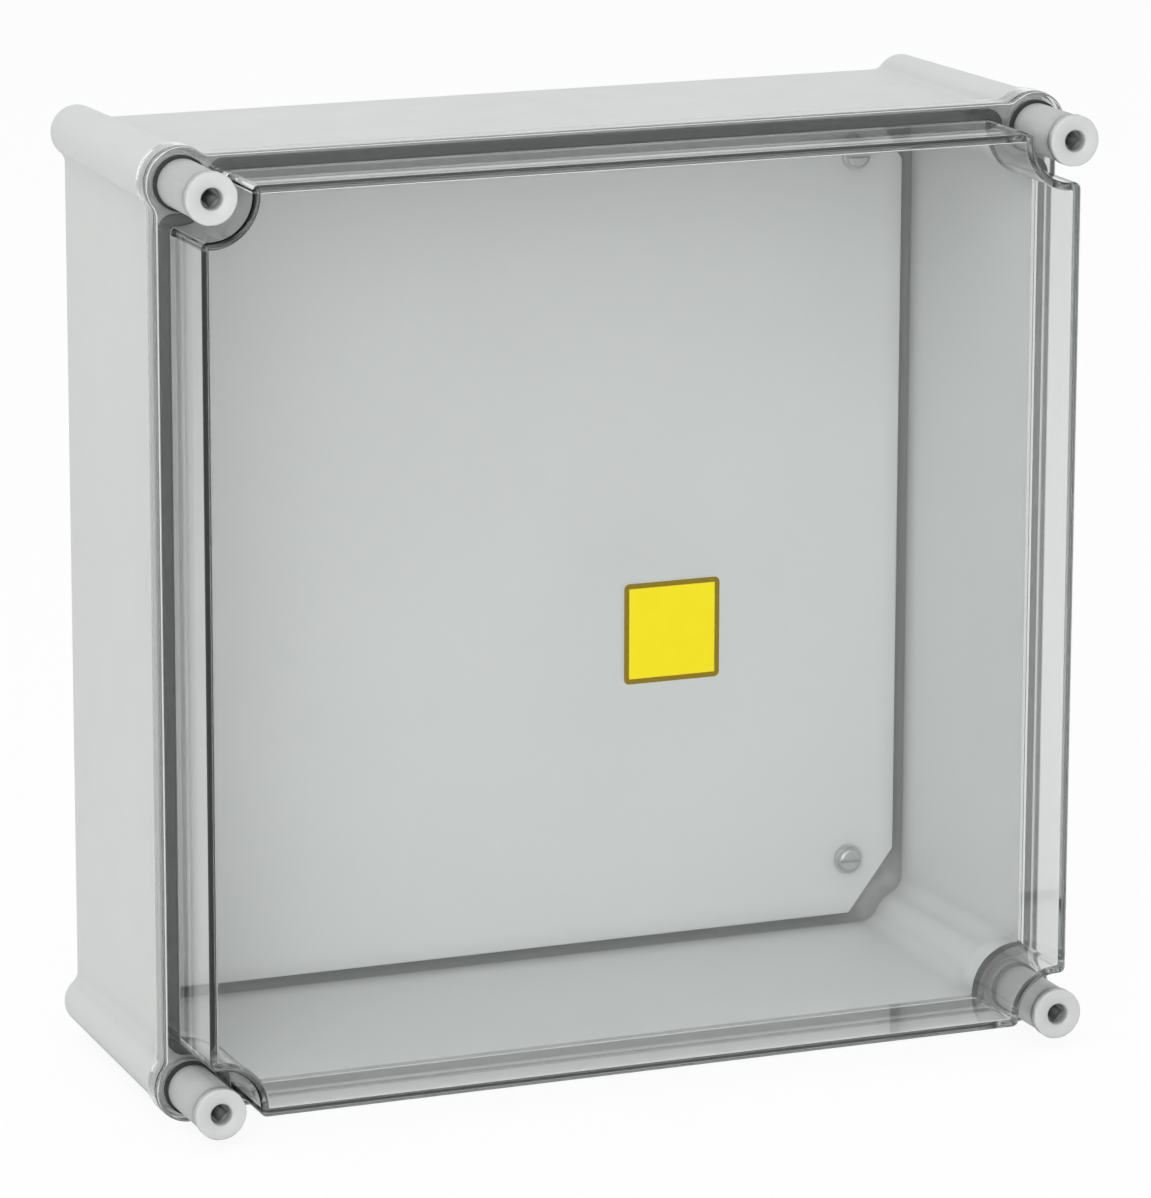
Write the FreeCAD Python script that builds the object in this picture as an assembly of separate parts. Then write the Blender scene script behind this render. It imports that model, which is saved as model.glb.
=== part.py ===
import FreeCAD, Part
import math
import os

# Wall-mounted electric meter box: deep moulded base, clear lid, corner screws, gasket and mounting plate.
# Millimetres. The back of the box lies in the plane y = 0, its front looks along -Y, and +Z is up.
# The origin is the centre of the back.

# Overall layout
BOX_SPAN = 358.4
BOX_DEPTH = 154.0

# Clear lid
TRAY_HEIGHT = 34.5
TRAY_EDGE_FILLET = 2.0
TRAY_INNER_FILLET = 0.5
TRAY_CORNER_ROUND = 2.4
TRAY_INNER_ROUND = 0.8
LID_WALL = 2.8
NOTCH_RADIUS = 15.6
FLANGE_WIDTH = 6.1
FLANGE_CORNER_RADIUS = 13.2
FLANGE_CORNER_BULGE = 3.7
FLANGE_BLEND = 6.0
FLANGE_EDGE_FILLET = 1.0
SKIRT_WALL = 1.8
SKIRT_LENGTH = 9.0

# Base shell
RIM_OVERHANG = 3.9
SIDE_DRAFT = 1.1
SIDE_WALL = 4.1
BACK_WALL = 4.0
PILLAR_RADIUS_BACK = 9.8
PILLAR_RADIUS_FRONT = 12.0
PILLAR_BLEND = 5.0
COLUMN_RADIUS_BACK = 10.8
COLUMN_RADIUS_FRONT = 12.3
COLUMN_BLEND = 7.5
BACK_EDGE_FILLET = 1.5
FLOOR_FILLET = 6.5
LIP_FILLET = 0.8
LIP_THICKNESS = 4.2
LIP_INSET = 0.5
PILLAR_TOP_RADIUS = 10.0
UPSTAND_WALL = 1.5

# Gasket
GASKET_THICKNESS = 3.5

# Lid screws
HEAD_RADIUS = 9.0
DISC_RADIUS = 9.5
DISC_FLATS = 18.5
DISC_THICKNESS = 4.0
DISC_EDGE_FILLET = 0.6
HEAD_PROUD = 0.5
HEAD_GROOVE_WIDTH = 0.8
HEAD_GROOVE_DEPTH = 0.9
RECESS_RADIUS = 3.8
RECESS_MOUTH_RADIUS = 4.5
RECESS_MOUTH_DEPTH = 0.8
RECESS_DEPTH = 3.5
SOCKET_SIDE = 5.0
SOCKET_FLOOR = 6.0
LID_THREAD_RADIUS = 4.0
LID_SCREW_ENGAGEMENT = 11.0
LID_SCREW_TRAVEL = 12.0
SCREW_POINT = 0.8
SEAL_RADIUS = 10.0
SEAL_THICKNESS = 1.8
RETAINER_RADIUS = 6.0
RETAINER_THICKNESS = 1.4
RETAINER_NECK_RADIUS = 3.0
RETAINER_GAP_WIDTH = 3.4
PILLAR_BORE_RADIUS = 7.0

# Threaded inserts
LID_INSERT_RADIUS = 6.0
LID_INSERT_LENGTH = 14.0
WALL_INSERT_RADIUS = 5.0
WALL_INSERT_LENGTH = 14.0
WALL_THREAD_RADIUS = 3.0
PLATE_INSERT_RADIUS = 3.5
PLATE_INSERT_LENGTH = 6.0
PLATE_THREAD_RADIUS = 2.5
INSERT_GROOVE_DEPTH = 0.5
INSERT_GROOVE_WIDTH = 2.0

# Mounting plate and its screws
PLATE_THICKNESS = 3.0
PLATE_CUT_WIDTH = 18.5
PLATE_CUT_HEIGHT = 24.6
PLATE_HOLE_SIDE_INSET = 19.4
PLATE_HOLE_END_INSET = 22.1
PLATE_HOLE_RADIUS = 2.75
BOSS_HEIGHT = 5.0
BOSS_TOP_RADIUS = 7.5
BOSS_ROOT_RADIUS = 8.2
PLATE_SCREW_HEAD_RADIUS = 4.6
PLATE_SCREW_HEAD_HEIGHT = 2.8
PLATE_SCREW_HEAD_FILLET = 1.2
SLOT_WIDTH = 1.2
SLOT_DEPTH = 1.3
PLATE_WASHER_RADIUS = 5.6
PLATE_WASHER_THICKNESS = 1.0

# Sticker on the front of the lid
STICKER_SIDE = 37.2
STICKER_THICKNESS = 0.2
STICKER_CORNER = 2.0
STICKER_X = 7.7
STICKER_Z = -3.3

# Clearances
PLATE_SIDE_GAP = 4.4
SKIRT_END_GAP = 0.3
SKIRT_SIDE_GAP = 0.4
UPSTAND_GAP = 0.5
PILLAR_TOP_GAP = 0.3
GASKET_SIDE_GAP = 0.1
THREAD_GAP = 0.1
LID_HOLE_GAP = 0.6
SEAL_BORE_GAP = 0.3
INSERT_GAP = 0.05
RETAINER_GAP = 0.1
RETAINER_STOP_GAP = 0.2
RETAINER_RUN_GAP = 2.0
WASHER_BORE_GAP = 0.3
INSERT_POCKET_GAP = 1.0

# Levels along the depth, front to back
PANEL_FRONT = -BOX_DEPTH
PANEL_BACK = PANEL_FRONT + LID_WALL
FLANGE_FRONT = PANEL_FRONT + TRAY_HEIGHT
FLANGE_BACK = FLANGE_FRONT + LID_WALL
PILLAR_TOP = FLANGE_BACK + PILLAR_TOP_GAP
UPSTAND_TOP = FLANGE_BACK + UPSTAND_GAP
GASKET_SEAT = FLANGE_BACK + GASKET_THICKNESS
SKIRT_END = FLANGE_FRONT + SKIRT_LENGTH
LIP_FRONT = SKIRT_END + SKIRT_END_GAP
LIP_BACK = LIP_FRONT + LIP_THICKNESS
HEAD_FRONT = PANEL_FRONT - HEAD_PROUD
HEAD_BACK = FLANGE_FRONT - SEAL_THICKNESS
RETAINER_FRONT = FLANGE_BACK + LID_SCREW_TRAVEL + RETAINER_STOP_GAP
RETAINER_BACK = RETAINER_FRONT + RETAINER_THICKNESS
LID_INSERT_FRONT = RETAINER_BACK + RETAINER_RUN_GAP
LID_SCREW_TIP = LID_INSERT_FRONT + LID_SCREW_ENGAGEMENT
PLATE_BACK = -BACK_WALL - BOSS_HEIGHT
PLATE_FACE = PLATE_BACK - PLATE_THICKNESS
PLATE_HEAD_BACK = PLATE_FACE - PLATE_WASHER_THICKNESS
BOSS_ROOT = -BACK_WALL / 2

# Half widths and centres across the front
CORNER = BOX_SPAN / 2 - FLANGE_CORNER_RADIUS
FLANGE_HALF = BOX_SPAN / 2 - FLANGE_CORNER_BULGE
TRAY_HALF = FLANGE_HALF - FLANGE_WIDTH
WALL_HALF_FRONT = FLANGE_HALF - RIM_OVERHANG
WALL_HALF_BACK = WALL_HALF_FRONT - SIDE_DRAFT
CAVITY_HALF_FRONT = WALL_HALF_FRONT - SIDE_WALL
CAVITY_HALF_BACK = WALL_HALF_BACK - SIDE_WALL
PLATE_HALF = CAVITY_HALF_BACK - PLATE_SIDE_GAP
UPSTAND_INNER = CAVITY_HALF_FRONT - TRAY_HALF
UPSTAND_OUTER = UPSTAND_INNER + UPSTAND_WALL
LEDGE_INSET = SKIRT_WALL + SKIRT_SIDE_GAP
GASKET_INNER = UPSTAND_OUTER + GASKET_SIDE_GAP
GASKET_OUTER = FLANGE_HALF - LEDGE_INSET - TRAY_HALF
BOSS_X = PLATE_HALF - PLATE_HOLE_SIDE_INSET
BOSS_Z = PLATE_HALF - PLATE_HOLE_END_INSET

# How far a cutting shape runs past the face that it opens
DEEPER = 1.0

CORNERS = {
    "top_left": (-1, 1),
    "top_right": (1, 1),
    "bottom_left": (-1, -1),
    "bottom_right": (1, -1),
}
BACKWARD = FreeCAD.Vector(0, 1, 0)


def point(x, y, z):
    return FreeCAD.Vector(x, y, z)


def middle_of_arc(start, end, centre):
    """Point of the shorter arc from start to end that lies halfway along it."""
    radius = start.distanceToPoint(centre)
    outward = (start + end) * 0.5 - centre
    outward.normalize()
    return centre + outward * radius


def arc(start, end, centre):
    return Part.Arc(start, middle_of_arc(start, end, centre), end).toShape()


def turned(vector, quarter_turns):
    """A point turned clockwise, seen from the front, about the depth axis."""
    x, z = vector.x, vector.z
    for _ in range(quarter_turns):
        x, z = z, -x
    return point(x, vector.y, z)


def closed_outline(corner_arcs):
    """A square outline from the arcs of its top right corner, repeated at every corner."""
    edges = []
    last = None
    first = None
    for quarter in range(4):
        for start, end, centre in corner_arcs:
            start, end, centre = (turned(p, quarter) for p in (start, end, centre))
            if last is not None and last.distanceToPoint(start) > 1e-6:
                edges.append(Part.LineSegment(last, start).toShape())
            edges.append(arc(start, end, centre))
            first = first or start
            last = end
    edges.append(Part.LineSegment(last, first).toShape())
    return Part.Wire(edges)


def mirrored(vector):
    return point(vector.z, vector.y, vector.x)


def bulged_outline(half, radius, blend, y):
    """A square whose corners bulge out in a circle round each screw axis, with blended feet."""
    axis = point(CORNER, y, CORNER)
    rise = half + blend - CORNER
    run = math.sqrt((radius + blend) ** 2 - rise ** 2)
    blend_centre = point(CORNER - run, y, half + blend)
    on_side = point(CORNER - run, y, half)
    on_circle = axis + (blend_centre - axis) * (radius / (radius + blend))
    crown = axis + point(1, 0, 1) * (radius / math.sqrt(2))
    return closed_outline([
        (on_side, on_circle, blend_centre),
        (on_circle, crown, axis),
        (crown, mirrored(on_circle), axis),
        (mirrored(on_circle), mirrored(on_side), mirrored(blend_centre)),
    ])


def notched_outline(half, radius, rounding, y):
    """A square whose corners are cut back in a circle round each screw axis, with rounded horns."""
    axis = point(CORNER, y, CORNER)
    rise = half - rounding - CORNER
    run = math.sqrt((radius + rounding) ** 2 - rise ** 2)
    horn_centre = point(CORNER - run, y, half - rounding)
    on_side = point(CORNER - run, y, half)
    on_notch = axis + (horn_centre - axis) * (radius / (radius + rounding))
    return closed_outline([
        (on_side, on_notch, horn_centre),
        (on_notch, mirrored(on_notch), axis),
        (mirrored(on_notch), mirrored(on_side), mirrored(horn_centre)),
    ])


def tray_line(offset, y):
    """Outline parallel to the wall of the lid's tray, moved out by the offset."""
    rounding = max(TRAY_CORNER_ROUND + offset, TRAY_INNER_ROUND)
    return notched_outline(TRAY_HALF + offset, NOTCH_RADIUS - offset, rounding, y)


def flange_line(inset, y):
    """Outline parallel to the edge of the lid's flange, moved in by the inset."""
    return bulged_outline(FLANGE_HALF - inset, FLANGE_CORNER_RADIUS - inset, FLANGE_BLEND + inset, y)


def prism(outline, length):
    return Part.Face(outline).extrude(BACKWARD * length)


def rod(x, z, radius, front, back):
    return Part.makeCylinder(radius, back - front, point(x, front, z), BACKWARD)


def tube(x, z, outer, inner, front, back):
    return rod(x, z, outer, front, back).cut(rod(x, z, inner, front - DEEPER, back + DEEPER))


def edges_at(shape, y):
    """Edges that lie in the plane at depth y."""
    found = []
    for edge in shape.Edges:
        box = edge.BoundBox
        if abs(box.YMin - y) < 1e-4 and abs(box.YMax - y) < 1e-4:
            found.append(edge)
    return found


def corner_place(signs):
    return signs[0] * CORNER, signs[1] * CORNER


def boss_place(signs):
    return signs[0] * BOSS_X, signs[1] * BOSS_Z


def base_walls():
    """Drafted walls with a round pillar standing out at each corner."""
    back = bulged_outline(WALL_HALF_BACK, PILLAR_RADIUS_BACK, PILLAR_BLEND, 0)
    front = bulged_outline(WALL_HALF_FRONT, PILLAR_RADIUS_FRONT, PILLAR_BLEND, LIP_BACK)
    body = Part.makeLoft([back, front], True, True)
    return body.makeFillet(BACK_EDGE_FILLET, edges_at(body, 0))


def base_rim():
    """Lip, gasket ledge and the upstand that the gasket lies round."""
    lip = prism(flange_line(LIP_INSET, LIP_FRONT), LIP_THICKNESS)
    lip = lip.makeFillet(LIP_FILLET, edges_at(lip, LIP_BACK))
    ledge = prism(flange_line(LEDGE_INSET, GASKET_SEAT), LIP_FRONT - GASKET_SEAT)
    upstand = prism(tray_line(UPSTAND_OUTER, UPSTAND_TOP), GASKET_SEAT - UPSTAND_TOP)
    return lip.fuse(ledge).fuse(upstand)


def base_cavity():
    """Room inside the base: drafted walls, columns at the corners, then the mouth of the rim."""
    floor = notched_outline(CAVITY_HALF_BACK, COLUMN_RADIUS_BACK, COLUMN_BLEND, -BACK_WALL)
    top = notched_outline(CAVITY_HALF_FRONT, COLUMN_RADIUS_FRONT, COLUMN_BLEND, LIP_BACK)
    room = Part.makeLoft([floor, top], True, True)
    room = room.makeFillet(FLOOR_FILLET, edges_at(room, -BACK_WALL))
    mouth_front = UPSTAND_TOP - DEEPER
    mouth = prism(tray_line(UPSTAND_INNER, mouth_front), LIP_BACK - mouth_front)
    return [room, mouth]


def pillar_holes(signs):
    """Front bore for the screw and its insert, and the blind hole at the back for the wall insert."""
    x, z = corner_place(signs)
    bore = rod(x, z, PILLAR_BORE_RADIUS, PILLAR_TOP - DEEPER, LID_INSERT_FRONT)
    insert_end = LID_INSERT_FRONT + LID_INSERT_LENGTH
    seat = rod(x, z, LID_INSERT_RADIUS + INSERT_GAP, LID_INSERT_FRONT, insert_end)
    wall_seat = rod(x, z, WALL_INSERT_RADIUS + INSERT_GAP, -WALL_INSERT_LENGTH, DEEPER)
    wall_pocket = rod(x, z, WALL_THREAD_RADIUS, -WALL_INSERT_LENGTH - INSERT_POCKET_GAP, 0)
    return [bore, seat, wall_seat, wall_pocket]


def plate_boss(signs):
    """Tapered boss on the back wall. A corner of the mounting plate lies on it."""
    x, z = boss_place(signs)
    return Part.makeCone(BOSS_TOP_RADIUS, BOSS_ROOT_RADIUS, BOSS_ROOT - PLATE_BACK, point(x, PLATE_BACK, z), BACKWARD)


def plate_boss_hole(signs):
    x, z = boss_place(signs)
    insert_end = PLATE_BACK + PLATE_INSERT_LENGTH
    seat = rod(x, z, PLATE_INSERT_RADIUS + INSERT_GAP, PLATE_BACK - DEEPER, insert_end)
    pocket = rod(x, z, PLATE_THREAD_RADIUS, PLATE_BACK, insert_end + INSERT_POCKET_GAP)
    return [seat, pocket]


def base_shell():
    """Deep moulded base with all its holes and bosses."""
    corners = CORNERS.values()
    pillar_tops = [rod(*corner_place(signs), PILLAR_TOP_RADIUS, PILLAR_TOP, LIP_BACK) for signs in corners]
    body = base_walls().fuse(base_rim()).fuse(pillar_tops)
    body = body.cut(base_cavity())
    body = body.fuse([plate_boss(signs) for signs in corners])
    for signs in corners:
        body = body.cut(pillar_holes(signs) + plate_boss_hole(signs))
    return body.removeSplitter()


def lid_shell():
    """Clear lid: a tray with notched corners standing on a flange whose skirt covers the rim."""
    tray = prism(tray_line(0, PANEL_FRONT), TRAY_HEIGHT)
    tray = tray.makeFillet(TRAY_EDGE_FILLET, edges_at(tray, PANEL_FRONT))
    flange = prism(flange_line(0, FLANGE_FRONT), SKIRT_LENGTH)
    flange = flange.makeFillet(FLANGE_EDGE_FILLET, edges_at(flange, FLANGE_FRONT))
    inside = prism(tray_line(-LID_WALL, PANEL_BACK), FLANGE_BACK - PANEL_BACK)
    inside = inside.makeFillet(TRAY_INNER_FILLET, edges_at(inside, PANEL_BACK))
    pocket = prism(flange_line(SKIRT_WALL, FLANGE_BACK), SKIRT_END - FLANGE_BACK)
    lid = tray.fuse(flange).cut(inside).cut(pocket)
    for signs in CORNERS.values():
        x, z = corner_place(signs)
        lid = lid.cut(rod(x, z, LID_THREAD_RADIUS + LID_HOLE_GAP, FLANGE_FRONT - DEEPER, FLANGE_BACK + DEEPER))
    return lid.removeSplitter()


def sealing_gasket():
    """Soft strip on the ledge of the rim, inside the screws, pressed by the back of the lid's flange."""
    outer = prism(tray_line(GASKET_OUTER, FLANGE_BACK), GASKET_THICKNESS)
    inner = prism(tray_line(GASKET_INNER, FLANGE_BACK - DEEPER), GASKET_THICKNESS + 2 * DEEPER)
    return outer.cut(inner)


def hexagon(x, z, flats, front, length):
    reach = flats / math.sqrt(3)
    tips = []
    for step in range(7):
        angle = math.radians(60 * step)
        tips.append(point(x + reach * math.cos(angle), front, z + reach * math.sin(angle)))
    return prism(Part.makePolygon(tips), length)


def diamond_hole(x, z, side, front, length):
    """Square hole that stands on a corner."""
    reach = side / math.sqrt(2)
    tips = [(reach, 0), (0, reach), (-reach, 0), (0, -reach), (reach, 0)]
    return prism(Part.makePolygon([point(x + right, front, z + up) for right, up in tips]), length)


def lid_screw(signs):
    """Long-headed plastic screw: faceted front disc, smooth head, neck groove and threaded end."""
    x, z = corner_place(signs)
    disc_back = HEAD_FRONT + DISC_THICKNESS
    groove_back = disc_back + HEAD_GROOVE_WIDTH
    disc = rod(x, z, DISC_RADIUS, HEAD_FRONT, disc_back)
    disc = disc.makeFillet(DISC_EDGE_FILLET, edges_at(disc, HEAD_FRONT))
    disc = disc.common(hexagon(x, z, DISC_FLATS, HEAD_FRONT, DISC_THICKNESS))
    groove = rod(x, z, HEAD_RADIUS - HEAD_GROOVE_DEPTH, disc_back, groove_back)
    head = rod(x, z, HEAD_RADIUS, groove_back, HEAD_BACK)
    thread_radius = LID_THREAD_RADIUS - THREAD_GAP
    shank = rod(x, z, thread_radius, HEAD_BACK, LID_SCREW_TIP)
    shank = shank.makeChamfer(SCREW_POINT, edges_at(shank, LID_SCREW_TIP))
    screw = disc.fuse([groove, head, shank])
    neck_front = RETAINER_FRONT - RETAINER_GAP
    neck_back = RETAINER_BACK + RETAINER_GAP
    screw = screw.cut(tube(x, z, LID_THREAD_RADIUS, RETAINER_NECK_RADIUS, neck_front, neck_back))
    recess = rod(x, z, RECESS_RADIUS, HEAD_FRONT - DEEPER, HEAD_FRONT + RECESS_DEPTH)
    mouth = Part.makeCone(RECESS_MOUTH_RADIUS, RECESS_RADIUS, RECESS_MOUTH_DEPTH, point(x, HEAD_FRONT, z), BACKWARD)
    socket = diamond_hole(x, z, SOCKET_SIDE, HEAD_FRONT, HEAD_BACK - SOCKET_FLOOR - HEAD_FRONT)
    return screw.cut([recess, mouth, socket]).removeSplitter()


def screw_seal(signs):
    """Rubber ring between the head of a lid screw and the flange."""
    x, z = corner_place(signs)
    inner = LID_THREAD_RADIUS - THREAD_GAP + SEAL_BORE_GAP
    return tube(x, z, SEAL_RADIUS, inner, HEAD_BACK, FLANGE_FRONT)


def screw_retainer(signs):
    """Split ring in the neck of a lid screw. It keeps the loosened screw in the lid."""
    x, z = corner_place(signs)
    ring = tube(x, z, RETAINER_RADIUS, RETAINER_NECK_RADIUS + RETAINER_GAP, RETAINER_FRONT, RETAINER_BACK)
    gap_corner = point(x - RETAINER_GAP_WIDTH / 2, RETAINER_FRONT - DEEPER, z)
    gap = Part.makeBox(RETAINER_GAP_WIDTH, RETAINER_THICKNESS + 2 * DEEPER, RETAINER_RADIUS + DEEPER, gap_corner)
    return ring.cut(gap)


def threaded_insert(x, z, outer, inner, front, length):
    """Brass bush with a groove round its middle that the moulding grips."""
    bush = tube(x, z, outer, inner, front, front + length)
    groove_front = front + (length - INSERT_GROOVE_WIDTH) / 2
    groove = tube(x, z, outer + DEEPER, outer - INSERT_GROOVE_DEPTH, groove_front, groove_front + INSERT_GROOVE_WIDTH)
    return bush.cut(groove)


def lid_insert(signs):
    x, z = corner_place(signs)
    return threaded_insert(x, z, LID_INSERT_RADIUS, LID_THREAD_RADIUS, LID_INSERT_FRONT, LID_INSERT_LENGTH)


def wall_insert(signs):
    x, z = corner_place(signs)
    return threaded_insert(x, z, WALL_INSERT_RADIUS, WALL_THREAD_RADIUS, -WALL_INSERT_LENGTH, WALL_INSERT_LENGTH)


def plate_insert(signs):
    x, z = boss_place(signs)
    return threaded_insert(x, z, PLATE_INSERT_RADIUS, PLATE_THREAD_RADIUS, PLATE_BACK, PLATE_INSERT_LENGTH)


def mounting_plate():
    """Flat plate with its corners cut off to clear the columns, held by a screw near each corner."""
    half = PLATE_HALF
    right = half - PLATE_CUT_WIDTH
    top = half - PLATE_CUT_HEIGHT
    tips = [(-right, half), (right, half), (half, top), (half, -top), (right, -half), (-right, -half)]
    tips += [(-half, -top), (-half, top), (-right, half)]
    outline = Part.makePolygon([point(x, PLATE_FACE, z) for x, z in tips])
    plate = prism(outline, PLATE_THICKNESS)
    for signs in CORNERS.values():
        plate = plate.cut(rod(*boss_place(signs), PLATE_HOLE_RADIUS, PLATE_FACE - DEEPER, PLATE_BACK + DEEPER))
    return plate


def plate_washer(signs):
    x, z = boss_place(signs)
    inner = PLATE_THREAD_RADIUS + WASHER_BORE_GAP
    return tube(x, z, PLATE_WASHER_RADIUS, inner, PLATE_HEAD_BACK, PLATE_FACE)


def plate_screw(signs):
    """Slotted pan-head screw that holds a corner of the plate to its boss."""
    x, z = boss_place(signs)
    head_front = PLATE_HEAD_BACK - PLATE_SCREW_HEAD_HEIGHT
    head = rod(x, z, PLATE_SCREW_HEAD_RADIUS, head_front, PLATE_HEAD_BACK)
    head = head.makeFillet(PLATE_SCREW_HEAD_FILLET, edges_at(head, head_front))
    shank = rod(x, z, PLATE_THREAD_RADIUS - THREAD_GAP, PLATE_HEAD_BACK, PLATE_BACK + PLATE_INSERT_LENGTH)
    slot_corner = point(x - PLATE_SCREW_HEAD_RADIUS, head_front, z - SLOT_WIDTH / 2)
    slot = Part.makeBox(2 * PLATE_SCREW_HEAD_RADIUS, SLOT_DEPTH, SLOT_WIDTH, slot_corner)
    return head.fuse(shank).cut(slot)


def yellow_sticker():
    """Small square sticker with rounded corners on the front of the lid."""
    corner = point(STICKER_X - STICKER_SIDE / 2, PANEL_FRONT - STICKER_THICKNESS, STICKER_Z - STICKER_SIDE / 2)
    sheet = Part.makeBox(STICKER_SIDE, STICKER_THICKNESS, STICKER_SIDE, corner)
    upright = [e for e in sheet.Edges if e.BoundBox.YLength > STICKER_THICKNESS / 2]
    return sheet.makeFillet(STICKER_CORNER, upright)


def export(shape, name):
    shape.exportStep(os.path.join("parts", name + ".step"))


def main():
    os.makedirs("parts", exist_ok=True)
    export(base_shell(), "base_shell")
    export(lid_shell(), "lid_shell")
    export(sealing_gasket(), "sealing_gasket")
    export(mounting_plate(), "mounting_plate")
    export(yellow_sticker(), "yellow_sticker")
    per_corner = {
        "lid_screw": lid_screw,
        "screw_seal": screw_seal,
        "screw_retainer": screw_retainer,
        "lid_insert": lid_insert,
        "wall_insert": wall_insert,
        "plate_insert": plate_insert,
        "plate_screw": plate_screw,
        "plate_washer": plate_washer,
    }
    for name, make in per_corner.items():
        for place, signs in CORNERS.items():
            export(make(signs), name + "_" + place)


main()
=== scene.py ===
import math

import bmesh
import bpy
from mathutils import Matrix, Vector


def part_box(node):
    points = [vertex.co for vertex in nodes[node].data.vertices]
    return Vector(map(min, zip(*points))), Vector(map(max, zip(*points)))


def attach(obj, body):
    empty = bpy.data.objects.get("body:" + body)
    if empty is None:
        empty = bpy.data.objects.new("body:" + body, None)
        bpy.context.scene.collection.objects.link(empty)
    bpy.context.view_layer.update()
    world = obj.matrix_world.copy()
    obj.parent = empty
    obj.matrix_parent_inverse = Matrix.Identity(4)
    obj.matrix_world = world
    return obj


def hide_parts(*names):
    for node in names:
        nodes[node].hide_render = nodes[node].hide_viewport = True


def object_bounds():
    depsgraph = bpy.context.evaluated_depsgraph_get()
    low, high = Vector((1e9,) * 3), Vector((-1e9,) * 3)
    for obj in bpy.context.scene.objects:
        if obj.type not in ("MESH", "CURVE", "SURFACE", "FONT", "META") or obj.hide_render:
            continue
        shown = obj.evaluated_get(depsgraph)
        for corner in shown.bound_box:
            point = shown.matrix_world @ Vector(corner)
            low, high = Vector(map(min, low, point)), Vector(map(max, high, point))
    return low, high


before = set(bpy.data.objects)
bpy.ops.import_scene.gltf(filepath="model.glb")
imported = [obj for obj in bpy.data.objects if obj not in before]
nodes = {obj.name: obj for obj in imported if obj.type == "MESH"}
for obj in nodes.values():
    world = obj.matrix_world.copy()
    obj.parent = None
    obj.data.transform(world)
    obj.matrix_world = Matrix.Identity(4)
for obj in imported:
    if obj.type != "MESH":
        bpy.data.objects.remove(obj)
cad_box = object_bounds()

# Camera that sees the box as the photograph does: pixels, metres, degrees and millimetres
PHOTO_WIDTH = 1151
FOCAL_PIXELS = 6631.0
CAMERA_PLACE = Vector((-0.8987, -2.2980, 0.5688))
CAMERA_YAW = 22.06
CAMERA_PITCH = 13.54
CAMERA_ROLL = 0.14
SENSOR_WIDTH = 36.0
VIEW_END = 50

# All sizes below are in metres. A depth is a place along Y, from the back (0) to the front.
# Screw axes, and the outline of the lid's tray
CORNER = 0.166
TRAY_HALF = 0.1694
NOTCH_RADIUS = 0.0156
HORN_ROUND = 0.0024
HORN_STEPS = 8
NOTCH_STEPS = 20

# Gasket: its edges measured outwards from the tray's outline, and its depths
GASKET_EDGES = (-0.0003, 0.0039)
GASKET_DEPTHS = (-0.1167, -0.1132)
GASKET_STEPS = 28
GASKET_SQUARENESS = 0.35

# Mounting plate: where painted shade starts behind its face, and the shaded hollow behind it
PLATE_FACE = -0.012
EDGE_START = (0.0001, 0.0003)
HOLLOW_BACK = -0.002
HOLLOW_HALF = 0.1675

# Lid screws, from the disc in front to the tip
DISC_BACK = -0.150
RECESS_REACH = 0.0042
SOCKET_MOUTH = (-0.1512, -0.1508)
RECESS_END = -0.127
HEAD_BACK = -0.1213
SHANK_RADIUS = 0.0039
SHANK_OVERLAP = 0.0006
NECK_RADIUS = 0.0030
NECK_DEPTHS = (-0.1046, -0.1030)
NECK_TAPER = 0.0003
SCREW_TIP = -0.0901
TIP_LENGTH = 0.0006
TIP_ROUND = 0.0012
SCREW_PITCH = 0.003
SCREW_THREAD = 0.0006
SCREW_STEPS = 48
SCREW_ROWS_PER_TURN = 16
# The CAD's points further than this behind the head are its plain shank, which is taken off
SHANK_SEARCH = 0.0002
SAME_POINT = 1e-6

# Section of every thread, as shares of half its pitch
THREAD_ROOT = 0.18
THREAD_FLANK = 0.5

# Brass bushes: outer radius, bore, thread's depth and pitch
LID_BUSH = (0.0060, 0.0040, 0.0006, SCREW_PITCH)
WALL_BUSH = (0.0050, 0.0025, 0.0005, 0.001)
BUSH_EDGE = 0.0004
BUSH_GROOVE_HALF = 0.001
BUSH_GROOVE_DEPTH = 0.0005
BUSH_MOUTH = 0.0001
BUSH_THREAD_INSET = 0.0003
BUSH_STEPS = 96
BUSH_ROWS_PER_TURN = 10
KNURLS = 32
KNURL_DEPTH = 0.00025

# Sticker's rounded corners, and the line that runs along its edge
STICKER_CORNER = 0.002
STICKER_LINE = 0.0019
LINE_WAVE = 0.0003
LINE_BLUR = 0.00012

# Studio: how far the floor is whitened where the camera sees it, directly or in the plastic, its
# size and its gap below the box, and the strength of the world's light on the object
FLOOR_WHITENING = 0.92
FLOOR_WHITENING_IN_PLASTIC = 0.35
FLOOR_HALF = 6.0
FLOOR_GAP = 0.0005
WORLD_STRENGTH = 0.62
# Lamps: place, size and power, and the point that they all face
LAMPS = {"front": ((-1.0, -2.2, 0.55), 1.6, 22),
         "key": ((-1.6, -1.8, 2.2), 1.6, 18),
         "top": ((0.2, -0.2, 2.4), 1.8, 10)}
LAMP_TARGET = (0, -0.05, 0)

SIDES = {"top_left": (-1, 1), "top_right": (1, 1),
         "bottom_left": (-1, -1), "bottom_right": (1, -1)}


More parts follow.
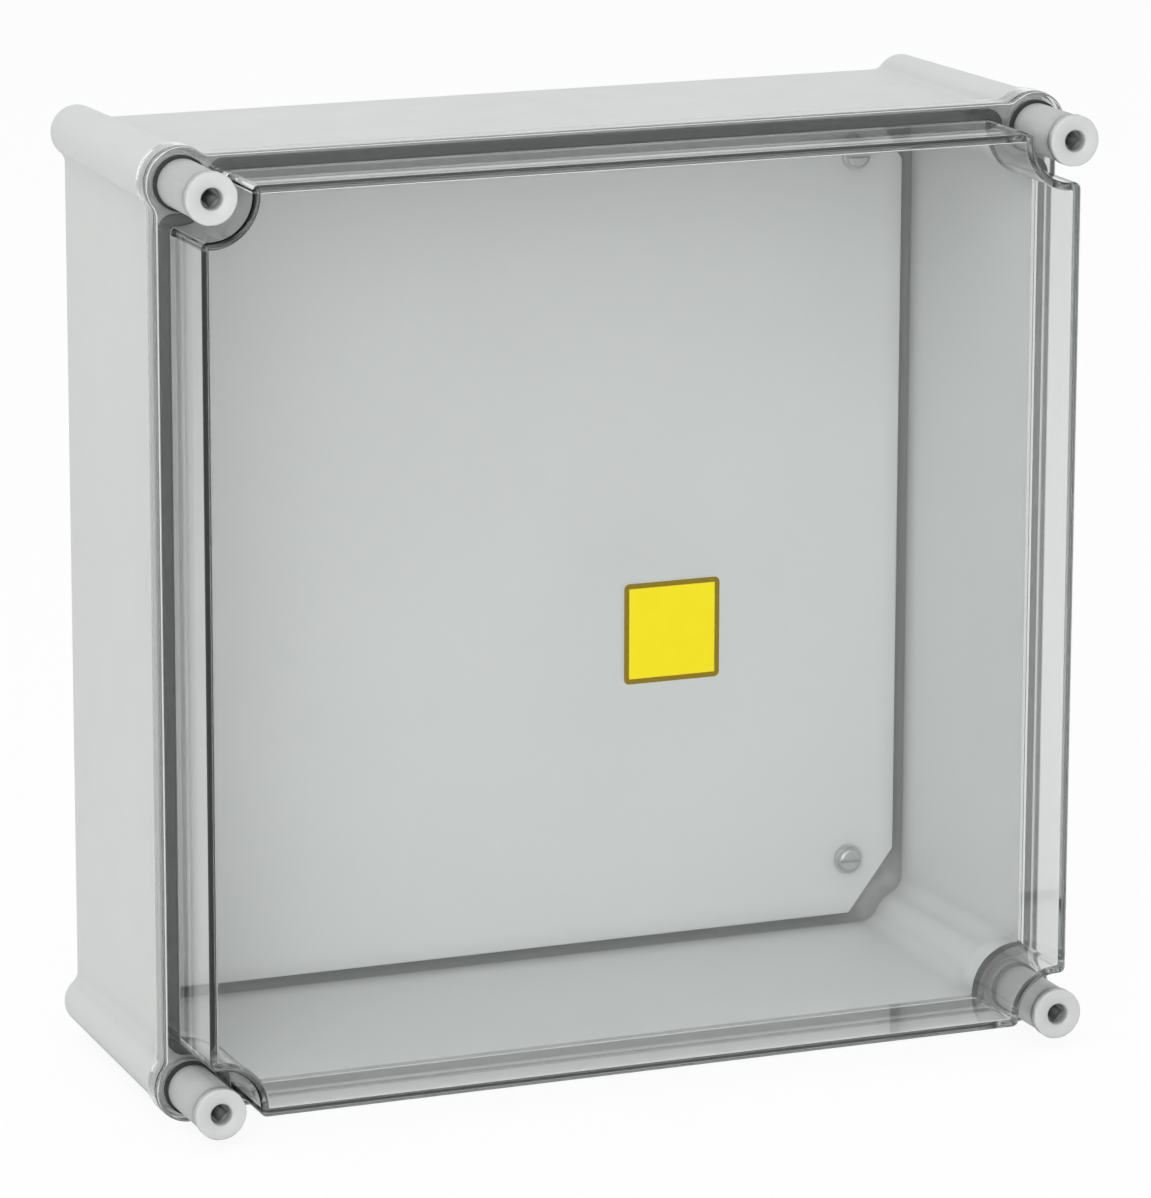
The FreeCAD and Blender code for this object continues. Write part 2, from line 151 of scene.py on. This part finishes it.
class Nodes:
    """A node material or world, and short calls that add nodes to it."""

    def __init__(self, name, world=False):
        self.block = (bpy.data.worlds if world else bpy.data.materials).new(name)
        self.block.use_nodes = True
        self.tree = self.block.node_tree
        self.tree.nodes.clear()
        self.output = self.add("ShaderNodeOutputWorld" if world else "ShaderNodeOutputMaterial")
        self.coordinates = None if world else self.add("ShaderNodeTexCoord").outputs["Object"]

    def add(self, kind, **settings):
        node = self.tree.nodes.new(kind)
        for key, value in settings.items():
            setattr(node, key, value)
        return node

    def link(self, source, target):
        self.tree.links.new(source, target)

    def noise(self, scale, detail=4.0, roughness=0.55):
        node = self.add("ShaderNodeTexNoise")
        node.inputs["Scale"].default_value = scale
        node.inputs["Detail"].default_value = detail
        node.inputs["Roughness"].default_value = roughness
        self.link(self.coordinates, node.inputs["Vector"])
        return node.outputs["Fac"]

    def place(self):
        """Outputs X, Y and Z of the place in the object's own coordinates."""
        node = self.add("ShaderNodeSeparateXYZ")
        self.link(self.coordinates, node.inputs[0])
        return node.outputs

    def spread(self, value, low_in, high_in, low_out, high_out):
        """The value taken from one range to another, and held at its ends."""
        node = self.add("ShaderNodeMapRange")
        node.inputs["From Min"].default_value = low_in
        node.inputs["From Max"].default_value = high_in
        node.inputs["To Min"].default_value = low_out
        node.inputs["To Max"].default_value = high_out
        self.link(value, node.inputs["Value"])
        return node.outputs["Result"]

    def uneven(self, noise, low_out, high_out):
        """A noise's middle range taken to the two values, such as for roughness."""
        return self.spread(noise, 0.3, 0.7, low_out, high_out)

    def blend_colours(self, factor, first, second):
        node = self.add("ShaderNodeMix", data_type="RGBA")
        self.link(factor, node.inputs["Factor"])
        for socket, colour in ((node.inputs[6], first), (node.inputs[7], second)):
            if isinstance(colour, bpy.types.NodeSocket):
                self.link(colour, socket)
            else:
                socket.default_value = (*colour, 1.0)
        return node.outputs[2]

    def blend_shaders(self, factor, first, second):
        node = self.add("ShaderNodeMixShader")
        self.link(factor, node.inputs["Fac"])
        self.link(first, node.inputs[1])
        self.link(second, node.inputs[2])
        return node.outputs[0]

    def math(self, operation, *values):
        node = self.add("ShaderNodeMath", operation=operation)
        for socket, value in zip(node.inputs, values):
            if isinstance(value, bpy.types.NodeSocket):
                self.link(value, socket)
            else:
                socket.default_value = value
        return node.outputs[0]

    def product(self, first, *others):
        """All the values multiplied: where each is 0 or 1, the part that they share."""
        for other in others:
            first = self.math("MULTIPLY", first, other)
        return first

    def bump(self, height, strength, distance, under=None):
        node = self.add("ShaderNodeBump")
        node.inputs["Strength"].default_value = strength
        node.inputs["Distance"].default_value = distance
        self.link(height, node.inputs["Height"])
        if under is not None:
            self.link(under, node.inputs["Normal"])
        return node.outputs["Normal"]

    def soft_edges(self, radius):
        node = self.add("ShaderNodeBevel", samples=6)
        node.inputs["Radius"].default_value = radius
        return node.outputs["Normal"]

    def painted_crevice_shade(self, colour, reach, darkest, closed, open_):
        """The colour with painted shade: darker in narrow gaps and holes, by how closed in they
        are.

        It is darkest where the share of open surroundings is closed or less, and plain where
        it is open_ or more.
        """
        node = self.add("ShaderNodeAmbientOcclusion", samples=6)
        node.inputs["Distance"].default_value = reach
        shade = self.add("ShaderNodeMix", data_type="RGBA", blend_type="MULTIPLY")
        shade.inputs["Factor"].default_value = 1.0
        level = self.spread(node.outputs["AO"], closed, open_, darkest, 1.0)
        self.link(colour, shade.inputs[6])
        self.link(level, shade.inputs[7])
        return shade.outputs[2]

    def principled(self, **values):
        node = self.add("ShaderNodeBsdfPrincipled")
        for name, value in values.items():
            socket = node.inputs[name.replace("_", " ")]
            if isinstance(value, bpy.types.NodeSocket):
                self.link(value, socket)
            elif isinstance(value, tuple):
                socket.default_value = (*value, 1.0)
            else:
                socket.default_value = value
        return node

    def finish(self, shader):
        self.link(shader, self.output.inputs["Surface"])
        return self.block


def moulded_grey(name, pale, dark, grain, painted_shade_behind_face):
    """Grey moulding compound: fine orange-peel grain, faint mottling and uneven gloss.

    The mounting plate's edges and back and the hollow behind it get a darker colour: painted shade.
    """
    make = Nodes(name)
    colour = make.blend_colours(make.spread(make.noise(9, 3, 0.5), 0.35, 0.65, 0, 1), pale, dark)
    place = make.place()
    # Painted shade: behind the plate's face and inside the walls, for the shadow in the gap round
    # the plate.
    behind = make.spread(place["Y"], *(PLATE_FACE + start for start in EDGE_START), 0, 1)
    before_wall = make.math("LESS_THAN", place["Y"], HOLLOW_BACK)
    inside = [make.math("LESS_THAN", make.math("ABSOLUTE", place[axis]), HOLLOW_HALF)
              for axis in "XZ"]
    shaded_hollow = make.product(behind, before_wall, *inside)
    colour = make.blend_colours(shaded_hollow, colour, painted_shade_behind_face)
    # Painted shade: darker in narrow gaps and holes, by ambient occlusion.
    colour = make.painted_crevice_shade(colour, reach=0.012, darkest=0.5, closed=0.2, open_=0.95)
    roughness = make.uneven(make.noise(60, 3), 0.40, 0.50)
    normal = make.bump(make.noise(1700, 2), 0.03 * grain, 0.0001)
    normal = make.bump(make.noise(45, 2), 0.03 * grain, 0.001, normal)
    shader = make.principled(Base_Color=colour, Roughness=roughness, Normal=normal, IOR=1.5)
    return make.finish(shader.outputs[0])


def clear_polycarbonate():
    """Clear lid plastic, darker where it is deep. Its shadow is made by light passing straight."""
    make = Nodes("clear_polycarbonate")
    roughness = make.uneven(make.noise(55, 3), 0.012, 0.035)
    normal = make.bump(make.noise(14, 1), 0.03, 0.002)
    shader = make.principled(Base_Color=(0.948, 0.954, 0.953), Roughness=roughness,
                             Normal=normal, IOR=1.53, Transmission_Weight=1.0)
    clear = make.add("ShaderNodeBsdfTransparent")
    clear.inputs["Color"].default_value = (0.94, 0.945, 0.944, 1.0)
    path = make.add("ShaderNodeLightPath")
    body = make.add("ShaderNodeVolumeAbsorption")
    body.inputs["Color"].default_value = (0.80, 0.808, 0.807, 1.0)
    body.inputs["Density"].default_value = 50.0
    make.link(body.outputs[0], make.output.inputs["Volume"])
    return make.finish(make.blend_shaders(path.outputs["Is Shadow Ray"], shader.outputs[0],
                                          clear.outputs[0]))


def dark_rubber():
    """Dull black foam rubber of the gasket and of the rings under the screws."""
    make = Nodes("dark_rubber")
    colour = make.blend_colours(make.noise(300, 4), (0.016, 0.017, 0.018), (0.03, 0.03, 0.03))
    normal = make.bump(make.noise(2500, 3), 0.4, 0.0002)
    roughness = make.uneven(make.noise(200), 0.7, 0.9)
    shader = make.principled(Base_Color=colour, Roughness=roughness, Normal=normal)
    return make.finish(shader.outputs[0])


def white_nylon():
    """White nylon, with painted light on the front discs and painted shade in the key sockets."""
    make = Nodes("white_nylon")
    colour = make.blend_colours(make.noise(70, 3), (0.455, 0.467, 0.463), (0.425, 0.437, 0.433))
    place = make.place()
    # Painted light: the disc in front is paler than the head's sides, as under light from the
    # front.
    lit_disc = make.math("LESS_THAN", place["Y"], DISC_BACK)
    colour = make.blend_colours(lit_disc, colour, (0.54, 0.553, 0.549))
    # Painted shade: the key socket in the disc's recess is dark, most of all past its mouth.
    from_axis = [make.math("SUBTRACT", make.math("ABSOLUTE", place[axis]), CORNER)
                 for axis in "XZ"]
    squares = [make.product(distance, distance) for distance in from_axis]
    near_axis = make.math("LESS_THAN", make.math("ADD", *squares), RECESS_REACH ** 2)
    socket_shade = make.spread(place["Y"], *SOCKET_MOUTH, 0.25, 1)
    in_head = make.math("LESS_THAN", place["Y"], RECESS_END)
    colour = make.blend_colours(make.product(near_axis, socket_shade, in_head), colour, (0.10, 0.11, 0.105))
    # Painted shade: darker in the recess and other narrow gaps, by ambient occlusion.
    colour = make.painted_crevice_shade(colour, reach=0.007, darkest=0.04, closed=0.3, open_=0.9)
    roughness = make.uneven(make.noise(220, 3), 0.34, 0.48)
    normal = make.bump(make.noise(900, 2), 0.1, 0.0002, make.soft_edges(0.0004))
    shader = make.principled(Base_Color=colour, Roughness=roughness, Normal=normal, IOR=1.53)
    return make.finish(shader.outputs[0])


def metal(name, pale, dark, roughness_low, roughness_high):
    """Bare metal with faint mottling, fine grain and slightly rounded edges."""
    make = Nodes(name)
    colour = make.blend_colours(make.noise(260, 4), pale, dark)
    roughness = make.uneven(make.noise(700, 3), roughness_low, roughness_high)
    normal = make.bump(make.noise(1800, 2), 0.1, 0.0001, make.soft_edges(0.0002))
    shader = make.principled(Base_Color=colour, Roughness=roughness, Normal=normal, Metallic=1.0)
    return make.finish(shader.outputs[0])


def yellow_vinyl():
    """Yellow sticker with a dark printed line round its edge, and nothing else on it."""
    make = Nodes("yellow_vinyl")
    low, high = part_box("yellow_sticker")
    place = make.place()
    reach = (high.x - low.x) / 2 - STICKER_CORNER
    beyond = []
    for axis, middle in (("X", (low.x + high.x) / 2), ("Z", (low.z + high.z) / 2)):
        distance = make.math("ABSOLUTE", make.math("SUBTRACT", place[axis], middle))
        beyond.append(make.math("SUBTRACT", distance, reach))
    corner = [make.math("MAXIMUM", value, 0.0) for value in beyond]
    squares = [make.product(value, value) for value in corner]
    round_part = make.math("SQRT", make.math("ADD", *squares))
    straight_part = make.math("MINIMUM", make.math("MAXIMUM", *beyond), 0.0)
    from_edge = make.math("ADD", round_part, straight_part)
    wavy = make.product(make.math("SUBTRACT", make.noise(900, 2), 0.5), LINE_WAVE)
    from_edge = make.math("ADD", from_edge, wavy)
    line_inside = STICKER_CORNER - STICKER_LINE
    line = make.spread(from_edge, line_inside - LINE_BLUR, line_inside + LINE_BLUR, 0, 1)
    yellow = make.blend_colours(make.noise(120, 3), (0.73, 0.615, 0.004), (0.77, 0.66, 0.006))
    brown = make.blend_colours(make.noise(500, 3), (0.17, 0.115, 0.004), (0.24, 0.17, 0.006))
    colour = make.blend_colours(line, yellow, brown)
    roughness = make.uneven(make.noise(400, 3), 0.3, 0.42)
    shader = make.principled(Base_Color=colour, Roughness=roughness, Specular_IOR_Level=0.25)
    return make.finish(shader.outputs[0])


def dress(object_, material):
    object_.data.materials.clear()
    object_.data.materials.append(material)


def add_piece(name, rows):
    """A ring-shaped mesh from closed rows of points, each joined to the next all round."""
    mesh = bpy.data.meshes.new(name)
    across = len(rows[0])
    points = [tuple(p) for row in rows for p in row]
    faces = []
    for i in range(len(rows)):
        for j in range(across):
            next_row = (i + 1) % len(rows)
            next_point = (j + 1) % across
            faces.append((i * across + j, i * across + next_point,
                          next_row * across + next_point, next_row * across + j))
    mesh.from_pydata(points, [], faces)
    mesh.update()
    return link_mesh(name, mesh)


def link_mesh(name, mesh):
    """An object in the scene from the mesh, with its faces turned outwards."""
    made = bmesh.new()
    made.from_mesh(mesh)
    bmesh.ops.recalc_face_normals(made, faces=made.faces)
    made.to_mesh(mesh)
    made.free()
    piece = bpy.data.objects.new(name, mesh)
    bpy.context.scene.collection.objects.link(piece)
    return piece


def smooth(piece, degrees=35):
    """Smooth shading, with edges sharper than the angle kept sharp."""
    mesh = piece.data
    mesh.polygons.foreach_set("use_smooth", [True] * len(mesh.polygons))
    mesh.set_sharp_from_angle(angle=math.radians(degrees))


def arc_points(centre, start, end, steps):
    """Points of the shorter arc round the centre, from start to end."""
    first = math.atan2(start[1] - centre[1], start[0] - centre[0])
    last = math.atan2(end[1] - centre[1], end[0] - centre[0])
    sweep = (last - first + math.pi) % (2 * math.pi) - math.pi
    radius = math.dist(centre, start)
    return [(centre[0] + radius * math.cos(first + sweep * i / steps),
             centre[1] + radius * math.sin(first + sweep * i / steps)) for i in range(steps + 1)]


def tray_line(offset):
    """Outline of the lid's tray moved out by the offset, clockwise from the top right corner."""
    half = TRAY_HALF + offset
    radius = NOTCH_RADIUS - offset
    rounding = HORN_ROUND + offset
    axis = (CORNER, CORNER)
    run = math.sqrt((radius + rounding) ** 2 - (half - rounding - CORNER) ** 2)
    horn = (CORNER - run, half - rounding)
    share = radius / (radius + rounding)
    on_side = (horn[0], half)
    on_notch = (axis[0] + (horn[0] - axis[0]) * share,
                axis[1] + (horn[1] - axis[1]) * share)
    horn_arc = arc_points(horn, on_side, on_notch, HORN_STEPS)
    notch_arc = arc_points(axis, on_notch, (on_notch[1], on_notch[0]), NOTCH_STEPS)
    corner = horn_arc + notch_arc[1:-1] + [(z, x) for x, z in reversed(horn_arc)]
    line = []
    for _ in range(4):
        line += corner
        corner = [(z, -x) for x, z in corner]
    return line


def gasket_section():
    """Offsets and depths round the strip's section, with rounded corners and bulging sides."""
    inner, outer = GASKET_EDGES
    front, back = GASKET_DEPTHS
    section = []
    for i in range(GASKET_STEPS):
        angle = 2 * math.pi * i / GASKET_STEPS
        across, along = (math.copysign(abs(reach) ** GASKET_SQUARENESS, reach)
                         for reach in (math.cos(angle), math.sin(angle)))
        section.append(((inner + outer) / 2 + (outer - inner) / 2 * across,
                        (front + back) / 2 + (back - front) / 2 * along))
    return section


def make_gasket(material):
    """Foam strip with rounded edges in the ledge of the rim."""
    rows = [[(x, depth, z) for x, z in tray_line(offset)] for offset, depth in gasket_section()]
    gasket = add_piece("foam_gasket", rows)
    smooth(gasket, 50)
    dress(gasket, material)
    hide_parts("sealing_gasket")
    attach(gasket, "base")


def ring(centre, radius, depth, steps, bump=None):
    """Points of a circle round an axis along the depth. bump adds to the radius at each angle."""
    points = []
    for i in range(steps):
        angle = 2 * math.pi * i / steps
        reach = radius + (bump(angle) if bump else 0.0)
        points.append((centre[0] + reach * math.cos(angle), depth,
                       centre[1] + reach * math.sin(angle)))
    return points


def thread_height(turns):
    """Height of a rounded thread after some turns along it: 0 in the root, 1 on the crest."""
    place = abs((turns % 1.0) * 2 - 1)
    return min(max((place - THREAD_ROOT) / THREAD_FLANK, 0.0), 1.0)


def threaded_rings(centre, root, crest, front, back, pitch, steps, rows_per_turn):
    """Rings of a cylinder with a screw thread on it, run out at both ends."""
    count = max(2, round((back - front) / pitch * rows_per_turn))
    rings = []
    for i in range(count + 1):
        depth = front + (back - front) * i / count
        fade = min(1.0, 2.0 * (depth - front) / pitch, 2.0 * (back - depth) / pitch)

        def bump(angle, depth=depth, fade=fade):
            turns = (depth - front) / pitch - angle / (2 * math.pi)
            return (crest - root) * thread_height(turns) * fade
        rings.append(ring(centre, root, depth, steps, bump))
    return rings


def make_lid_screw(corner, nylon):
    """Lid screw: the CAD head with its faceted disc, and a shank that has a real thread."""
    node = nodes[f"lid_screw_{corner}"]
    side = SIDES[corner]
    centre = (side[0] * CORNER, side[1] * CORNER)
    made = bmesh.new()
    made.from_mesh(node.data)
    shank = [v for v in made.verts if v.co.y > HEAD_BACK + SHANK_SEARCH]
    bmesh.ops.delete(made, geom=shank, context="VERTS")
    bmesh.ops.remove_doubles(made, verts=made.verts, dist=SAME_POINT)
    open_edges = [e for e in made.edges if e.is_boundary]
    bmesh.ops.holes_fill(made, edges=open_edges)
    profile = [(SHANK_RADIUS, HEAD_BACK - SHANK_OVERLAP),
               (SHANK_RADIUS, NECK_DEPTHS[0] - NECK_TAPER),
               (NECK_RADIUS, NECK_DEPTHS[0]), (NECK_RADIUS, NECK_DEPTHS[1])]
    rings = [ring(centre, radius, depth, SCREW_STEPS) for radius, depth in profile]
    rings += threaded_rings(centre, SHANK_RADIUS - SCREW_THREAD, SHANK_RADIUS,
                            NECK_DEPTHS[1] + NECK_TAPER, SCREW_TIP - TIP_LENGTH,
                            SCREW_PITCH, SCREW_STEPS, SCREW_ROWS_PER_TURN)
    rings.append(ring(centre, SHANK_RADIUS - TIP_ROUND, SCREW_TIP, SCREW_STEPS))
    levels = [[made.verts.new(p) for p in points] for points in rings]
    for front, back in zip(levels, levels[1:]):
        for j in range(SCREW_STEPS):
            k = (j + 1) % SCREW_STEPS
            made.faces.new((front[j], front[k], back[k], back[j]))
    made.faces.new(levels[0])
    made.faces.new(levels[-1])
    mesh = bpy.data.meshes.new(f"threaded_screw_{corner}")
    made.to_mesh(mesh)
    made.free()
    screw = link_mesh(f"threaded_screw_{corner}", mesh)
    smooth(screw)
    dress(screw, nylon)
    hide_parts(node.name)
    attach(screw, f"screw_{corner}")


def make_bush(name, node_name, radius, bore, thread_depth, pitch, brass):
    """Knurled brass bush with a groove round its middle and a thread in its bore."""
    low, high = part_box(node_name)
    centre = ((low.x + high.x) / 2, (low.z + high.z) / 2)
    front, back = low.y, high.y
    groove = [(front + back) / 2 + side * BUSH_GROOVE_HALF for side in (-1, 1)]

    def knurl(angle):
        return -KNURL_DEPTH * abs((angle * KNURLS / (2 * math.pi)) % 1.0 * 2 - 1)
    outside = [(radius - BUSH_EDGE, front, None), (radius, front + BUSH_EDGE, knurl),
               (radius, groove[0], knurl), (radius - BUSH_GROOVE_DEPTH, groove[0], None),
               (radius - BUSH_GROOVE_DEPTH, groove[1], None), (radius, groove[1], knurl),
               (radius, back - BUSH_EDGE, knurl), (radius - BUSH_EDGE, back, None)]
    rings = [ring(centre, reach, depth, BUSH_STEPS, bump) for reach, depth, bump in outside]
    root = bore + thread_depth
    rings.append(ring(centre, root + BUSH_MOUTH, back, BUSH_STEPS))
    rings += reversed(threaded_rings(centre, root, bore, front + BUSH_THREAD_INSET,
                                     back - BUSH_THREAD_INSET, pitch, BUSH_STEPS,
                                     BUSH_ROWS_PER_TURN))
    rings.append(ring(centre, root + BUSH_MOUTH, front, BUSH_STEPS))
    bush = add_piece(name, rings)
    smooth(bush)
    dress(bush, brass)
    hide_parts(node_name)
    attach(bush, "base")


def make_pieces(rubber, nylon, brass):
    """The finer pieces that stand in the places of the CAD's gasket, lid screws and inserts."""
    make_gasket(rubber)
    for corner in SIDES:
        make_lid_screw(corner, nylon)
        make_bush(f"lid_bush_{corner}", f"lid_insert_{corner}", *LID_BUSH, brass)
        make_bush(f"wall_bush_{corner}", f"wall_insert_{corner}", *WALL_BUSH, brass)


def dress_everything():
    """A material for every piece of the CAD, and then the finer pieces."""
    # The darker colours behind the plate's face are painted shade.
    grey = moulded_grey("grey_moulding", (0.615, 0.63, 0.62), (0.63, 0.645, 0.635),
                        grain=1.0, painted_shade_behind_face=(0.36, 0.366, 0.36))
    plate = moulded_grey("grey_plate", (0.595, 0.61, 0.60), (0.61, 0.625, 0.615),
                         grain=0.6, painted_shade_behind_face=(0.17, 0.175, 0.17))
    rubber = dark_rubber()
    nylon = white_nylon()
    brass = metal("brass", (0.80, 0.60, 0.26), (0.70, 0.50, 0.20), 0.28, 0.42)
    zinc = metal("zinc_steel", (0.58, 0.59, 0.59), (0.50, 0.51, 0.51), 0.42, 0.58)
    spring = metal("spring_steel", (0.50, 0.50, 0.51), (0.42, 0.42, 0.43), 0.30, 0.45)
    dress(nodes["base_shell"], grey)
    dress(nodes["mounting_plate"], plate)
    dress(nodes["lid_shell"], clear_polycarbonate())
    dress(nodes["sealing_gasket"], rubber)
    dress(nodes["yellow_sticker"], yellow_vinyl())
    per_corner = {"lid_screw": nylon, "screw_seal": rubber, "screw_retainer": spring,
                  "lid_insert": brass, "wall_insert": brass, "plate_insert": brass,
                  "plate_screw": zinc, "plate_washer": zinc}
    for piece, material in per_corner.items():
        for corner in SIDES:
            dress(nodes[f"{piece}_{corner}"], material)
    make_pieces(rubber, nylon, brass)


def make_world():
    """White where it is seen, also in plastic and in reflections, and softer as a light."""
    make = Nodes("studio", world=True)
    path = make.add("ShaderNodeLightPath")
    seen = path.outputs["Is Camera Ray"]
    for ray in ("Is Transmission Ray", "Is Glossy Ray"):
        seen = make.math("MAXIMUM", seen, path.outputs[ray])
    backgrounds = []
    for strength in (WORLD_STRENGTH, 1.0):
        background = make.add("ShaderNodeBackground")
        background.inputs["Color"].default_value = (1, 1, 1, 1)
        background.inputs["Strength"].default_value = strength
        backgrounds.append(background.outputs[0])
    bpy.context.scene.world = make.finish(make.blend_shaders(seen, *backgrounds))


def make_floor():
    """Pale matt floor just below the box, whitened where it is seen and still shaded by the box."""
    height = cad_box[0][2] - FLOOR_GAP
    corners = [(x * FLOOR_HALF, y * FLOOR_HALF, height)
               for x, y in ((-1, -1), (1, -1), (1, 1), (-1, 1))]
    mesh = bpy.data.meshes.new("floor")
    mesh.from_pydata(corners, [], [(0, 1, 2, 3)])
    floor = bpy.data.objects.new("floor", mesh)
    bpy.context.scene.collection.objects.link(floor)
    make = Nodes("floor")
    pale = make.blend_colours(make.noise(3, 3), (0.96, 0.96, 0.96), (0.98, 0.98, 0.98))
    matt = make.principled(Base_Color=pale, Roughness=0.9)
    white = make.add("ShaderNodeEmission")
    path = make.add("ShaderNodeLightPath")
    directly = make.product(path.outputs["Is Camera Ray"], FLOOR_WHITENING)
    in_plastic = make.math("MAXIMUM", path.outputs["Is Transmission Ray"],
                           path.outputs["Is Glossy Ray"])
    in_plastic = make.product(in_plastic, FLOOR_WHITENING_IN_PLASTIC)
    whitening = make.math("MAXIMUM", directly, in_plastic)
    dress(floor, make.finish(make.blend_shaders(whitening, matt.outputs[0], white.outputs[0])))


def area_light(name, place, size, power):
    """Square lamp that faces the box."""
    data = bpy.data.lights.new(name, "AREA")
    data.shape = "SQUARE"
    data.size = size
    data.energy = power
    light = bpy.data.objects.new(name, data)
    bpy.context.scene.collection.objects.link(light)
    direction = Vector(LAMP_TARGET) - Vector(place)
    turn = direction.to_track_quat("-Z", "Y").to_matrix().to_4x4()
    light.matrix_world = Matrix.Translation(place) @ turn


def make_lights():
    for name, lamp in LAMPS.items():
        area_light(name, *lamp)


def make_camera():
    """Camera in the place that was fitted to the straight edges in the photograph."""
    data = bpy.data.cameras.new("camera")
    data.sensor_fit = "HORIZONTAL"
    data.sensor_width = SENSOR_WIDTH
    data.lens = FOCAL_PIXELS / PHOTO_WIDTH * SENSOR_WIDTH
    data.clip_end = VIEW_END
    camera = bpy.data.objects.new("camera", data)
    bpy.context.scene.collection.objects.link(camera)
    yaw = Matrix.Rotation(math.radians(-CAMERA_YAW), 4, "Z")
    pitch = Matrix.Rotation(math.radians(90 - CAMERA_PITCH), 4, "X")
    roll = Matrix.Rotation(math.radians(CAMERA_ROLL), 4, "Z")
    camera.matrix_world = Matrix.Translation(CAMERA_PLACE) @ yaw @ pitch @ roll
    bpy.context.scene.camera = camera


dress_everything()
make_world()
make_floor()
make_lights()
make_camera()
bpy.context.scene.view_settings.view_transform = "Standard"
